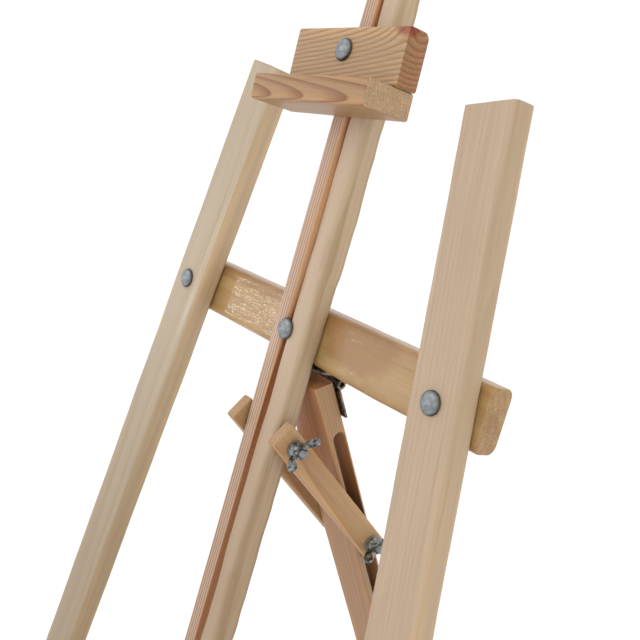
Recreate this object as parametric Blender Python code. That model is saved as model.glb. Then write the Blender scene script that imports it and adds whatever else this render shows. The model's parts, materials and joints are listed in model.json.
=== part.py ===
"""A free-standing timber easel: two converging front legs, a slotted mast and a hinged rear leg.

Metres, +Z up, the painter stands on the -Y side. The origin is on the floor, in the middle of the
easel's box.

Most pieces are placed in the front plane's own frame, an empty that leans back: its X runs across the
easel, its Y goes from the legs' front faces to the back, and its Z climbs along the mast. Its origin is
where the upper crossbar's bolts meet the legs' front faces. The rear leg, the tilt arms, the clamp and the
shelf hang on empties of their own, each on the axis of its joint.
"""

import math

import bmesh
import bpy
from mathutils import Matrix, Vector

# Driving dimensions, in metres and radians.
GAP = 0.0003  # left between pieces that touch
LEAN = math.radians(20.1)  # how far the front plane leans back
BOLT_HEIGHT = 0.939  # the upper crossbar's bolts above the floor

LEG_WIDTH = 0.054
STOCK_DEPTH = 0.0225  # front to back, legs and mast
LEG_TAPER = math.radians(8.84)  # each front leg leans inwards
LEFT_LEG_TOP = 0.2391  # above the upper crossbar's bolts
RIGHT_LEG_TOP = 0.2342
RIGHT_LEG_SKEW = math.radians(3.0)  # the right leg's top is sawn off askew
BOLT_X = 0.1932  # leg bolts from the middle, at the upper crossbar
LEG_SHIFT = 0.0015  # the front legs' middle lines are this far right of their bolts

MAST_HALF_WIDTH = 0.0243
SLOT_X = -0.0040  # middle of the mast's slot
SLOT_WIDTH = 0.0086
MAST_TOP = 0.800
MAST_BOTTOM = -0.930
SPACER_LENGTH = 0.060

CROSSBAR_HEIGHT = 0.0545
CROSSBAR_DEPTH = 0.0247
CROSSBAR_OVERHANG = 0.0355  # past the middle of the leg bolts
LOWER_CROSSBAR_Z = -0.750

HINGE_PIN = (0.0, 0.0525, -0.0375)
HINGE_HALF_LENGTH = 0.034
BARREL_RADIUS = 0.0048
HINGE_PIN_RADIUS = 0.0025
LEAF_THICKNESS = 0.002
KNUCKLES = 5
LOWER_LEAF_REACH = 0.036
NECK_OVERLAP = 0.0045  # how far a knuckle's neck lies in its leaf's plate
SKIN = 0.0001  # keeps a neck's faces off the plate's own

REAR_LEG_ANGLE = math.radians(35.3)  # between the mast and the rear leg
REAR_LEG_HALF_WIDTH = 0.029
REAR_LEG_DEPTH = 0.022
REAR_LEG_TOP = 0.006  # the middle of its upper end, above the hinge pin
REAR_LEG_TOP_SLOPE = math.radians(-10.3)  # its upper end falls to the back
REAR_SLOT_WIDTH = 0.014
REAR_SLOT_SHIFT = 0.0015  # the slot's middle line is this far behind the leg's
REAR_SLOT_TOP = -0.050
REAR_SLOT_BOTTOM = -0.280

ARM_PIVOT = (0.0, 0.01125, -0.1000)
ARM_LOCK_DISTANCE = 0.185  # from the hinge pin to the lock bolt, along the rear leg
ARM_WIDTH = 0.0262
ARM_THICKNESS = 0.0125
ARM_OVERRUN = 0.0198  # wood past each of an arm's bolts

CLAMP_Z = 0.2535
CLAMP_TILT = math.radians(3.5)
SHELF_Z = -0.550
SHELF_HALF_LENGTH = 0.210
SHELF_RAIL_HEIGHT = 0.050
SHELF_REACH = 0.075  # how far the ledge stands out from the mast
SHELF_LEDGE_THICKNESS = 0.022
SHELF_STRIP_THICKNESS = 0.0095
SHELF_STRIP_HEIGHT = 0.035
BOARD_DEPTH = 0.0235  # front to back, the clamp's block and the shelf's rail

SHANK_RADIUS = 0.0039
HOLE_RADIUS = 0.0043
HEAD_RADIUS = 0.0103
HEAD_HEIGHT = 0.0048
WASHER_RADIUS = 0.0085
WASHER_THICKNESS = 0.0016
NUT_RADIUS = 0.0075
NUT_HEIGHT = 0.0065
WING_NUT_HEIGHT = 0.0105
WING_SPAN = 0.0205  # from the axis to a wing's tip
WING_RISE = 0.0175
WING_THICKNESS = 0.0032
BOLT_PAST_NUT = 0.0025
SCREW_LENGTH = 0.016
SCREW_RADIUS = 0.0019
PILOT_RADIUS = 0.0023
DOWEL_LENGTH = 0.028
DOWEL_RADIUS = 0.004
DRILL_PAST = 0.001  # how far a drill or a blind hole runs on past its end

# Edge rounding of the timber.
LEG_ROUND = 0.0045
MAST_ROUND = 0.0045
CROSSBAR_ROUND = 0.007
SMALL_ROUND = 0.0025
KEY_ROUND = 0.0005

FRONT = Matrix.Rotation(math.pi / 2, 4, "X")
BACK = Matrix.Rotation(-math.pi / 2, 4, "X")
LEFT = Matrix.Rotation(-math.pi / 2, 4, "Y")
RIGHT = Matrix.Rotation(math.pi / 2, 4, "Y")
UP = Matrix.Identity(4)
DOWN = Matrix.Rotation(math.pi, 4, "X")

STOCK_BACK = STOCK_DEPTH + GAP  # where the pieces behind legs and mast begin
ARM_INSIDE = REAR_LEG_HALF_WIDTH + GAP
ARM_OUTSIDE = ARM_INSIDE + ARM_THICKNESS


def clear_scene():
    for obj in list(bpy.data.objects):
        bpy.data.objects.remove(obj, do_unlink=True)


def make_material(name, colour, roughness, metallic=0.0):
    material = bpy.data.materials.new(name)
    material.use_nodes = True
    shader = material.node_tree.nodes["Principled BSDF"]
    shader.inputs["Base Color"].default_value = (*colour, 1.0)
    shader.inputs["Roughness"].default_value = roughness
    shader.inputs["Metallic"].default_value = metallic
    return material


def make_frame(name, parent=None, location=(0, 0, 0), turn=UP):
    """An empty that other pieces hang on."""
    frame = bpy.data.objects.new(name, None)
    bpy.context.scene.collection.objects.link(frame)
    frame.empty_display_size = 0.05
    place(frame, parent, location, turn)
    return frame


def place(obj, parent, location=(0, 0, 0), turn=UP):
    obj.parent = parent
    obj.matrix_basis = Matrix.Translation(location) @ turn


def to_object(mesh, name, material):
    """Turns a bmesh into an object of the scene, shaded smooth but for its sharp edges."""
    bmesh.ops.remove_doubles(mesh, verts=mesh.verts, dist=1e-7)
    bmesh.ops.recalc_face_normals(mesh, faces=mesh.faces)
    data = bpy.data.meshes.new(name)
    mesh.to_mesh(data)
    mesh.free()
    data.shade_smooth()
    data.set_sharp_from_angle(angle=math.radians(35))
    obj = bpy.data.objects.new(name, data)
    bpy.context.scene.collection.objects.link(obj)
    if material:
        data.materials.append(material)
    return obj


def make_board(name, low, high, grain, rounding, material, steps=3, foot=None, slopes=(0.0, 0.0)):
    """A sawn piece from corner to corner, with the edges along its grain axis rounded.

    foot(x, y) gives the height of its lower end, for a leg that is cut to stand flat. slopes are how its
    upper end rises, to the right and to the back."""
    mesh = bmesh.new()
    bmesh.ops.create_cube(mesh, size=1)
    for vertex in mesh.verts:
        at_bottom = vertex.co.z < 0
        vertex.co = Vector([low[i] if vertex.co[i] < 0 else high[i] for i in range(3)])
        if foot and at_bottom:
            vertex.co.z = foot(vertex.co.x, vertex.co.y)
        if not at_bottom:
            for axis, slope in enumerate(slopes):
                vertex.co.z += (vertex.co[axis] - (low[axis] + high[axis]) / 2) * math.tan(slope)
    along = []
    for edge in mesh.edges:
        run = edge.verts[0].co - edge.verts[1].co
        if abs(run[grain]) > 0.9 * run.length:
            along.append(edge)
    bmesh.ops.bevel(mesh, geom=along, offset=rounding, segments=steps, profile=0.5, affect="EDGES")
    return to_object(mesh, name, material)


def make_turned(name, profile, material, segments=16):
    """A solid of revolution about local Z from a profile of (radius, height) points.

    A profile that starts and ends on the axis makes a solid, any other a closed ring."""
    mesh = bmesh.new()
    ring = [mesh.verts.new((radius, 0, height)) for radius, height in profile]
    on_axis = profile[0][0] == 0
    pairs = list(zip(ring, ring[1:] if on_axis else ring[1:] + ring[:1]))
    edges = [mesh.edges.new(pair) for pair in pairs]
    bmesh.ops.spin(
        mesh,
        geom=ring + edges,
        cent=(0, 0, 0),
        axis=(0, 0, 1),
        angle=2 * math.pi,
        steps=segments,
        use_merge=True,
    )
    return to_object(mesh, name, material)


def make_extruded(name, outline, thickness, material, axis="X"):
    """A plate from an outline of two-dimensional points, centred on the axis it is extruded along."""
    mesh = bmesh.new()
    if axis == "X":
        corners = [(-thickness / 2, a, b) for a, b in outline]
        step = Vector((thickness, 0, 0))
    else:
        corners = [(a, -thickness / 2, b) for a, b in outline]
        step = Vector((0, thickness, 0))
    face = mesh.faces.new([mesh.verts.new(corner) for corner in corners])
    grown = bmesh.ops.extrude_face_region(mesh, geom=[face])
    moved = [item for item in grown["geom"] if isinstance(item, bmesh.types.BMVert)]
    bmesh.ops.translate(mesh, verts=moved, vec=step)
    return to_object(mesh, name, material)


def combine(target, helper, operation):
    """Joins a hidden helper to a piece, or cuts it away, with a live Boolean."""
    helper.hide_render = True
    helper.display_type = "WIRE"
    modifier = target.modifiers.new(helper.name, "BOOLEAN")
    modifier.operation = operation
    modifier.object = helper
    modifier.solver = "EXACT"


def make_drill(name, radius, start, end, segments=16):
    """A cylinder about local Z that cuts a hole, from one height to another."""
    profile = [(0, start), (radius, start), (radius, end), (0, end)]
    return make_turned(name, profile, None, segments)


def drill(targets, name, parent, location, turn, start, end, radius=HOLE_RADIUS):
    cutter = make_drill(name + "_cutter", radius, start, end)
    place(cutter, parent, location, turn)
    for target in targets:
        combine(target, cutter, "DIFFERENCE")


def make_carriage_bolt(name, length, material):
    """A round-headed bolt: its dome points along +Z, and the underside of its head is at zero."""
    dome_steps = 4
    rim = 0.0008
    profile = [(0, -length), (SHANK_RADIUS - 0.0006, -length), (SHANK_RADIUS, 0.0006 - length)]
    profile += [(SHANK_RADIUS, 0), (HEAD_RADIUS, 0)]
    for step in range(dome_steps):
        angle = step / dome_steps * math.pi / 2
        height = rim + (HEAD_HEIGHT - rim) * math.sin(angle)
        profile.append((HEAD_RADIUS * math.cos(angle), height))
    profile.append((0, HEAD_HEIGHT))
    return make_turned(name, profile, material)


def make_washer(name, material, thickness=WASHER_THICKNESS):
    profile = [(HOLE_RADIUS, 0), (WASHER_RADIUS, 0), (WASHER_RADIUS, thickness), (HOLE_RADIUS, thickness)]
    return make_turned(name, profile, material)


def make_hex_nut(stack, material):
    block = [(0, 0), (NUT_RADIUS, 0), (NUT_RADIUS, NUT_HEIGHT), (0, NUT_HEIGHT)]
    nut = make_turned(stack + "_nut", block, material, segments=6)
    bore = make_drill(stack + "_nut_bore", HOLE_RADIUS, -DRILL_PAST, NUT_HEIGHT + DRILL_PAST)
    bore.parent = nut
    combine(nut, bore, "DIFFERENCE")
    return nut


def make_wing_nut(stack, material):
    """A cast wing nut that stands on zero, its wings in the XZ plane."""
    foot, waist, neck = 0.0082, 0.0076, 0.0062
    waist_height = 0.0035
    top = WING_NUT_HEIGHT
    hub = [(HOLE_RADIUS, 0), (foot, 0), (waist, waist_height), (neck, top), (HOLE_RADIUS, top)]
    nut = make_turned(stack + "_wing_nut", hub, material)
    tip = 0.0048
    centre = (WING_SPAN - tip, WING_RISE - tip)
    root_low = (0.0055, 0.0015)
    root_high = (0.0056, 0.0092)
    elbow = (0.0105, 0.0030)
    outline = [root_low, elbow]
    for step in range(7):
        angle = math.radians(-30 + 30 * step)
        outline.append((centre[0] + tip * math.cos(angle), centre[1] + tip * math.sin(angle)))
    outline.append(root_high)
    for side in (-1, 1):
        points = [(side * x, z) for x, z in outline]
        wing = make_extruded(stack + "_wing", points, WING_THICKNESS, None, axis="Y")
        wing.parent = nut
        combine(nut, wing, "UNION")
    return nut


def make_wood_screw(name, material):
    """A round-headed screw: its dome points along +Z, and the underside of its head is at zero."""
    shank = [(0, -SCREW_LENGTH), (SCREW_RADIUS, 0.005 - SCREW_LENGTH), (SCREW_RADIUS, 0)]
    head = [(0.0038, 0), (0.0034, 0.0013), (0.0019, 0.0021), (0, 0.0023)]
    return make_turned(name, shank + head, material, segments=12)


def make_dowel(name, material):
    chamfer = 0.0008
    half = DOWEL_LENGTH / 2
    profile = [(0, -half), (DOWEL_RADIUS - chamfer, -half), (DOWEL_RADIUS, chamfer - half)]
    profile += [(r, -z) for r, z in reversed(profile)]
    return make_turned(name, profile, material)


def fit_nut_stack(name, parent, location, turn, metal, make_nut):
    """A washer and a nut on the end of a bolt."""
    place(make_washer(name + "_washer", metal), parent, location, turn)
    outward = turn.to_3x3() @ Vector((0, 0, WASHER_THICKNESS + GAP))
    place(make_nut(name, metal), parent, Vector(location) + outward, turn)


def leg_x(height):
    """How far from the middle a front leg's centre line is, at a height in the front plane."""
    return BOLT_X - height * math.tan(LEG_TAPER)


def make_front_legs(front, wood):
    legs = {}
    sides = (("left_leg", -1, LEFT_LEG_TOP, 0.0), ("right_leg", 1, RIGHT_LEG_TOP, RIGHT_LEG_SKEW))
    for name, side, top, skew in sides:

        def foot(x, y, side=side):
            drop = (y * math.sin(LEAN) - BOLT_HEIGHT) / math.cos(LEAN)
            return (drop - x * side * math.sin(LEG_TAPER)) / math.cos(LEG_TAPER)

        half = LEG_WIDTH / 2
        low = (-half, 0, -BOLT_HEIGHT)
        high = (half, STOCK_DEPTH, top)
        node = name.replace("_leg", "_front_leg")
        leg = make_board(node, low, high, 2, LEG_ROUND, wood, foot=foot, slopes=(skew, 0.0))
        axis = (side * BOLT_X + LEG_SHIFT, 0, 0)
        place(leg, front, axis, Matrix.Rotation(-side * LEG_TAPER, 4, "Y"))
        legs[name] = leg
    return legs


def make_mast(front, left_wood, right_wood):
    slot_left = SLOT_X - SLOT_WIDTH / 2
    slot_right = SLOT_X + SLOT_WIDTH / 2
    low = (-MAST_HALF_WIDTH, 0, MAST_BOTTOM)
    left = make_board("mast_left_strip", low, (slot_left, STOCK_DEPTH, MAST_TOP), 2, SMALL_ROUND, left_wood)
    low = (slot_right, 0, MAST_BOTTOM)
    high = (MAST_HALF_WIDTH, STOCK_DEPTH, MAST_TOP)
    right = make_board("mast_right_strip", low, high, 2, MAST_ROUND, right_wood)
    half = SLOT_WIDTH / 2 - GAP
    ends = {"mast_top_spacer": MAST_TOP - SPACER_LENGTH, "mast_bottom_spacer": MAST_BOTTOM}
    for name, bottom in ends.items():
        low = (SLOT_X - half, GAP, bottom)
        high = (SLOT_X + half, STOCK_DEPTH - GAP, bottom + SPACER_LENGTH)
        place(make_board(name, low, high, 2, KEY_ROUND, left_wood, steps=1), front)
    place(left, front)
    place(right, front)
    drill([left, right], "arm_pivot_hole", front, ARM_PIVOT, RIGHT, -ARM_OUTSIDE, ARM_OUTSIDE)


def make_crossbar(name, front, height, wood):
    half = leg_x(height) + CROSSBAR_OVERHANG
    low = (-half, STOCK_BACK, height - CROSSBAR_HEIGHT / 2)
    high = (half, STOCK_BACK + CROSSBAR_DEPTH, height + CROSSBAR_HEIGHT / 2)
    bar = make_board(name, low, high, 0, CROSSBAR_ROUND, wood, steps=4)
    place(bar, front)
    return bar


def bolt_crossbar(level, front, height, bar, legs, metal):
    """Three carriage bolts hold a crossbar: one through each leg, one through the mast's slot."""
    reach = STOCK_BACK + CROSSBAR_DEPTH + GAP
    length = reach + WASHER_THICKNESS + NUT_HEIGHT + GAP + BOLT_PAST_NUT
    places = {"left_leg": -leg_x(height), "mast": SLOT_X, "right_leg": leg_x(height)}
    for part, x in places.items():
        name = f"{level}_{part}_bolt"
        bolt = make_carriage_bolt(name, length + GAP, metal)
        place(bolt, front, (x, -GAP, height), FRONT)
        drilled = [bar, legs[part]] if part in legs else [bar]
        drill(drilled, name, front, (x, 0, height), FRONT, -2 * length, length)
        fit_nut_stack(f"{level}_{part}", front, (x, reach, height), BACK, metal, make_hex_nut)


def knuckle_spans(own):
    """The X ranges of one leaf's knuckles: own is 0 for the even ones and 1 for the odd ones."""
    width = 2 * HINGE_HALF_LENGTH / KNUCKLES
    starts = [-HINGE_HALF_LENGTH + index * width for index in range(own, KNUCKLES, 2)]
    return [(start + GAP / 2, start + width - GAP / 2) for start in starts]


def make_leaf(name, parent, location, plate, neck, own, metal):
    """A hinge leaf about the pin: a plate, and a neck and a rolled knuckle at each of its own places."""
    (low_y, low_z), (high_y, high_z) = plate
    outline = [(low_y, low_z), (high_y, low_z), (high_y, high_z), (low_y, high_z)]
    leaf = make_extruded(name, outline, 2 * HINGE_HALF_LENGTH, metal)
    place(leaf, parent, location)
    bore = HINGE_PIN_RADIUS + GAP
    for start, end in knuckle_spans(own):
        length = end - start
        ring = [(bore, 0), (BARREL_RADIUS, 0), (BARREL_RADIUS, length), (bore, length)]
        knuckle = make_turned(name + "_knuckle", ring, None)
        place(knuckle, parent, Vector(location) + Vector((start, 0, 0)), RIGHT)
        bridge = make_extruded(name + "_neck", neck, length - GAP, None)
        place(bridge, parent, Vector(location) + Vector(((start + end) / 2, 0, 0)))
        combine(leaf, bridge, "UNION")
        combine(leaf, knuckle, "UNION")
    return leaf


def bent_neck(plate_end, top):
    """The strip that runs from the upper leaf's plate, at plate_end, down and in to its knuckles."""
    bottom = top - LEAF_THICKNESS
    behind = plate_end - NECK_OVERLAP
    return [
        (behind, top - SKIN),
        (plate_end, top - SKIN),
        (-0.0001, 0.0040),
        (-0.0026, 0.0028),
        (plate_end - 0.0008, bottom + SKIN),
        (behind, bottom + SKIN),
    ]


def straight_neck(low_y, plate_top):
    """The strip that runs from the lower leaf's plate, whose top edge is plate_top, into its knuckles."""
    high_y = low_y + LEAF_THICKNESS
    low_z = plate_top - NECK_OVERLAP
    high_z = -0.0005
    return [
        (low_y + SKIN, low_z),
        (high_y - SKIN, low_z),
        (high_y - 2 * SKIN, high_z),
        (low_y + SKIN, high_z),
    ]


def make_hinge(front, rear, bar, leg, metal):
    """The butt hinge under the upper crossbar, its pin behind the back face of the rear leg."""
    bar_bottom = -CROSSBAR_HEIGHT / 2 - HINGE_PIN[2] - GAP
    bar_front = STOCK_BACK + CROSSBAR_ROUND - HINGE_PIN[1]
    plate_front = bar_front - 0.0045
    plate_end = -BARREL_RADIUS - 0.0005
    plate = ((plate_front, bar_bottom - LEAF_THICKNESS), (plate_end, bar_bottom))
    neck = bent_neck(plate_end, bar_bottom)
    upper = make_leaf("hinge_upper_leaf", front, HINGE_PIN, plate, neck, 0, metal)

    leaf_front = GAP - BARREL_RADIUS
    leaf_back = leaf_front + LEAF_THICKNESS
    leaf_top = GAP - BARREL_RADIUS
    plate = ((leaf_front, -LOWER_LEAF_REACH), (leaf_back, leaf_top))
    neck = straight_neck(leaf_front, leaf_top)
    lower = make_leaf("hinge_lower_leaf", rear, (0, 0, 0), plate, neck, 1, metal)

    half = HINGE_HALF_LENGTH - 0.004
    rod = [(0, -half), (HINGE_PIN_RADIUS, -half), (HINGE_PIN_RADIUS, half), (0, half)]
    place(make_turned("hinge_pin", rod, metal), front, HINGE_PIN, RIGHT)

    under_plate = HINGE_PIN[2] + bar_bottom - LEAF_THICKNESS - GAP
    upper_screw_y = HINGE_PIN[1] + bar_front + 0.006
    for side, sign in (("left", -1), ("right", 1)):
        spots = {
            "upper": (front, (sign * 0.024, upper_screw_y, under_plate), DOWN, [upper, bar]),
            "lower": (rear, (sign * 0.014, leaf_back + GAP, -0.021), BACK, [lower, leg]),
        }
        for which, (parent, spot, turn, drilled) in spots.items():
            name = f"hinge_{which}_{side}_screw"
            place(make_wood_screw(name, metal), parent, spot, turn)
            drill(drilled, name, parent, spot, turn, -SCREW_LENGTH - 0.002, DRILL_PAST, PILOT_RADIUS)


def rear_leg_middle():
    """The rear leg's centre plane, measured from the hinge pin."""
    return -BARREL_RADIUS - GAP - REAR_LEG_DEPTH / 2


def make_rear_leg(rear, pin_height, wood):
    """The rear leg hangs on the hinge pin, with a long slot through its sides for the lock bolt."""
    tip = REAR_LEG_ANGLE - LEAN

    def foot(_, y):
        return -(pin_height + y * math.sin(tip)) / math.cos(tip)

    middle = rear_leg_middle()
    low = (-REAR_LEG_HALF_WIDTH, middle - REAR_LEG_DEPTH / 2, -pin_height)
    high = (REAR_LEG_HALF_WIDTH, middle + REAR_LEG_DEPTH / 2, REAR_LEG_TOP)
    slopes = (0.0, REAR_LEG_TOP_SLOPE)
    leg = make_board("rear_leg", low, high, 2, SMALL_ROUND, wood, foot=foot, slopes=slopes)
    place(leg, rear)
    outline = []
    radius = REAR_SLOT_WIDTH / 2
    for end, start in ((REAR_SLOT_TOP - radius, 0), (REAR_SLOT_BOTTOM + radius, math.pi)):
        for step in range(9):
            angle = start + step * math.pi / 8
            y = middle + REAR_SLOT_SHIFT + radius * math.cos(angle)
            outline.append((y, end + radius * math.sin(angle)))
    slot = make_extruded("rear_leg_slot_cutter", outline, 4 * REAR_LEG_HALF_WIDTH, None)
    place(slot, rear)
    combine(leg, slot, "DIFFERENCE")
    return leg


def lock_bolt_place():
    """Where the lock bolt crosses the rear leg's slot, in the front plane: its Y and Z."""
    sine = math.sin(REAR_LEG_ANGLE)
    cosine = math.cos(REAR_LEG_ANGLE)
    y = HINGE_PIN[1] + rear_leg_middle() * cosine + ARM_LOCK_DISTANCE * sine
    z = HINGE_PIN[2] + rear_leg_middle() * sine - ARM_LOCK_DISTANCE * cosine
    return y, z


def make_tilt_arms(front, wood, metal):
    """Two slats straddle the mast and the rear leg; each bolt has its head left and its wing nut right.

    The rear leg is wider than the mast, so a thick washer fills the gap beside the mast on each side."""
    lock_y, lock_z = lock_bolt_place()
    run = math.hypot(lock_y - ARM_PIVOT[1], lock_z - ARM_PIVOT[2])
    swing = math.atan2(lock_y - ARM_PIVOT[1], ARM_PIVOT[2] - lock_z)
    arms = make_frame("tilt_arm_axis", front, ARM_PIVOT, Matrix.Rotation(swing, 4, "X"))
    slats = []
    for name, low_x, high_x in (("left", -ARM_OUTSIDE, -ARM_INSIDE), ("right", ARM_INSIDE, ARM_OUTSIDE)):
        low = (low_x, -ARM_WIDTH / 2, -run - ARM_OVERRUN)
        high = (high_x, ARM_WIDTH / 2, ARM_OVERRUN)
        slat = make_board(name + "_tilt_arm", low, high, 2, SMALL_ROUND, wood, steps=2)
        place(slat, arms)
        slats.append(slat)
    spacer_start = MAST_HALF_WIDTH + GAP
    for name, turn in (("left", LEFT), ("right", RIGHT)):
        spacer = make_washer(name + "_pivot_spacer", metal, ARM_INSIDE - GAP - spacer_start)
        outward = turn.to_3x3() @ Vector((0, 0, spacer_start))
        place(spacer, front, Vector(ARM_PIVOT) + outward, turn)
    head = ARM_OUTSIDE + GAP
    length = 2 * head + WASHER_THICKNESS + GAP + WING_NUT_HEIGHT + 2 * BOLT_PAST_NUT
    for name, parent, z, twist in (("tilt_pivot", front, None, -38), ("tilt_lock", arms, -run, 72)):
        spot = ARM_PIVOT if z is None else (0, 0, z)
        bolt = make_carriage_bolt(name + "_bolt", length, metal)
        place(bolt, parent, Vector(spot) + Vector((-head, 0, 0)), LEFT)
        drill(slats, name + "_hole", parent, spot, RIGHT, -2 * head, 2 * head)
        nut_turn = RIGHT @ Matrix.Rotation(math.radians(twist), 4, "Z")
        fit_nut_stack(name, parent, Vector(spot) + Vector((head, 0, 0)), nut_turn, metal, make_wing_nut)


def slide_stack(name, parent, head_y, metal, twist):
    """The bolt of a piece that slides on the mast, with its washer and wing nut behind the mast."""
    nut_seat = STOCK_DEPTH + GAP
    length = nut_seat - head_y + WASHER_THICKNESS + GAP + WING_NUT_HEIGHT + BOLT_PAST_NUT
    place(make_carriage_bolt(name + "_bolt", length, metal), parent, (0, head_y, 0), FRONT)
    turn = BACK @ Matrix.Rotation(math.radians(twist), 4, "Z")
    fit_nut_stack(name, parent, (0, nut_seat, 0), turn, metal, make_wing_nut)


def add_dowels(name, parent, places, joint_z, upper, lower, wood):
    """Hidden dowels across the joint of two boards, each in a blind hole in both."""
    for side, x in places.items():
        spot = (x, -BOARD_DEPTH / 2, joint_z)
        place(make_dowel(f"{name}_{side}_dowel", wood), parent, spot)
        reach = DOWEL_LENGTH / 2 + DRILL_PAST
        drill([upper, lower], f"{name}_{side}_dowel_hole", parent, spot, UP, -reach, reach)


def make_clamp(front, wood, metal):
    """The canvas clamp: a block on the mast and a lip under it that reaches forward over the canvas."""
    carriage = make_frame("clamp_axis", front, (SLOT_X, 0, CLAMP_Z))
    head = make_frame("clamp_swivel", carriage, turn=Matrix.Rotation(-CLAMP_TILT, 4, "Y"))
    block_low = (-0.0736, -BOARD_DEPTH, -0.0299)
    block_high = (0.0785, -GAP, 0.0202)
    lip_low = (-0.0857, -0.0519, -0.0538)
    lip_high = (0.0768, -GAP, block_low[2] - GAP)
    block = make_board("clamp_block", block_low, block_high, 0, SMALL_ROUND, wood)
    lip = make_board("clamp_lip", lip_low, lip_high, 0, SMALL_ROUND, wood)
    place(block, head)
    place(lip, head)
    drill([block], "clamp_bolt", head, (0, 0, 0), FRONT, -STOCK_DEPTH, 2 * STOCK_DEPTH)
    dowels = {"left": -0.045, "right": 0.050}
    add_dowels("clamp", head, dowels, block_low[2] - GAP / 2, block, lip, wood)
    slide_stack("clamp", carriage, -BOARD_DEPTH - GAP, metal, 8)


def make_shelf(front, wood, metal):
    """The canvas shelf: a rail across the mast, a ledge under it, and a strip that stops the canvas."""
    shelf = make_frame("shelf_axis", front, (SLOT_X, 0, SHELF_Z))
    left = -SHELF_HALF_LENGTH - SLOT_X
    right = SHELF_HALF_LENGTH - SLOT_X
    rail_half = SHELF_RAIL_HEIGHT / 2
    ledge_front = -SHELF_REACH
    ledge_bottom = -rail_half - SHELF_LEDGE_THICKNESS
    strip_front = ledge_front - SHELF_STRIP_THICKNESS
    strip_top = ledge_bottom + SHELF_STRIP_HEIGHT
    key_half = SLOT_WIDTH / 2 - GAP
    key_depth = 0.018
    boards = {
        "shelf_rail": ((left, -BOARD_DEPTH, -rail_half), (right, -GAP, rail_half)),
        "shelf_ledge": ((left, ledge_front, ledge_bottom), (right, -GAP, -rail_half - GAP)),
        "shelf_stop_strip": ((left, strip_front, ledge_bottom), (right, ledge_front - GAP, strip_top)),
    }
    made = {}
    for name, (low, high) in boards.items():
        made[name] = make_board(name, low, high, 0, SMALL_ROUND, wood)
        place(made[name], shelf)
    key_low = (-key_half, 0, -0.062)
    key_high = (key_half, key_depth, -0.022)
    place(make_board("shelf_guide_key", key_low, key_high, 2, KEY_ROUND, wood, steps=1), shelf)
    rail = made["shelf_rail"]
    drill([rail], "shelf_bolt", shelf, (0, 0, 0), FRONT, -STOCK_DEPTH, 2 * STOCK_DEPTH)
    dowels = {"left": left + 0.06, "right": right - 0.06}
    add_dowels("shelf", shelf, dowels, -rail_half - GAP / 2, rail, made["shelf_ledge"], wood)
    slide_stack("shelf", shelf, -BOARD_DEPTH - GAP, metal, 90)


def main():
    clear_scene()
    pale = make_material("pale_pine", (0.62, 0.44, 0.28), 0.55)
    pink = make_material("resinous_pine", (0.55, 0.34, 0.20), 0.55)
    honey = make_material("varnished_pine", (0.60, 0.36, 0.14), 0.35)
    tan = make_material("tan_pine", (0.48, 0.27, 0.12), 0.5)
    zinc = make_material("zinc_plated_steel", (0.42, 0.45, 0.47), 0.4, 1.0)
    dark = make_material("hinge_steel", (0.20, 0.18, 0.17), 0.45, 1.0)

    front_foot = -BOLT_HEIGHT * math.tan(LEAN)
    mast_back = MAST_TOP * math.sin(LEAN) + STOCK_DEPTH * math.cos(LEAN)
    middle = (-LEG_SHIFT, -(front_foot + mast_back) / 2, BOLT_HEIGHT)
    front = make_frame("front_plane", None, middle, Matrix.Rotation(-LEAN, 4, "X"))
    rear = make_frame("rear_leg_axis", front, HINGE_PIN, Matrix.Rotation(REAR_LEG_ANGLE, 4, "X"))
    pin_height = BOLT_HEIGHT + HINGE_PIN[2] * math.cos(LEAN) - HINGE_PIN[1] * math.sin(LEAN)

    legs = make_front_legs(front, pale)
    make_mast(front, pink, pale)
    upper = make_crossbar("upper_crossbar", front, 0, honey)
    lower = make_crossbar("lower_crossbar", front, LOWER_CROSSBAR_Z, honey)
    bolt_crossbar("upper", front, 0, upper, legs, zinc)
    bolt_crossbar("lower", front, LOWER_CROSSBAR_Z, lower, legs, zinc)
    leg = make_rear_leg(rear, pin_height, tan)
    make_hinge(front, rear, upper, leg, dark)
    make_tilt_arms(front, tan, zinc)
    make_clamp(front, honey, zinc)
    make_shelf(front, pale, zinc)


main()
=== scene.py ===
"""The looks of the timber easel: fine timber, turned and cast metal, and a soft pale studio."""

import json
import math

import bmesh
import bpy
from mathutils import Matrix, Vector, noise


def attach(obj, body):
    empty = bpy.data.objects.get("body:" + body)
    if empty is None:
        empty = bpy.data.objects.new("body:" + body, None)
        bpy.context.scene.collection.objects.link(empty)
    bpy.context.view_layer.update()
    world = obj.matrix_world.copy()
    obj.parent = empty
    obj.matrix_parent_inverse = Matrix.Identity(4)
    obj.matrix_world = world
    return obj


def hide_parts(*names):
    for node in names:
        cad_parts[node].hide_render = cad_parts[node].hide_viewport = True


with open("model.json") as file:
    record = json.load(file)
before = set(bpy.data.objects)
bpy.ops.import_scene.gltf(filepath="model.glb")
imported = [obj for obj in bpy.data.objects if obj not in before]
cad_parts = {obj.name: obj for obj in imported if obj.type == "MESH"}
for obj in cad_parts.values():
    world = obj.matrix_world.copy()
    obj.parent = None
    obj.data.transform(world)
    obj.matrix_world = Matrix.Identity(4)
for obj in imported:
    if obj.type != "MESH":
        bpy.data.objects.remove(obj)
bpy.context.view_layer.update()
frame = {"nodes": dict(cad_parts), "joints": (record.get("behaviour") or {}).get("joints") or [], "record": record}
JOINTS = {joint["name"]: joint for joint in frame["joints"]}
BODY_OF = {
    node: body for body, nodes in frame["record"]["behaviour"]["bodies"].items() for node in nodes
}

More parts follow.
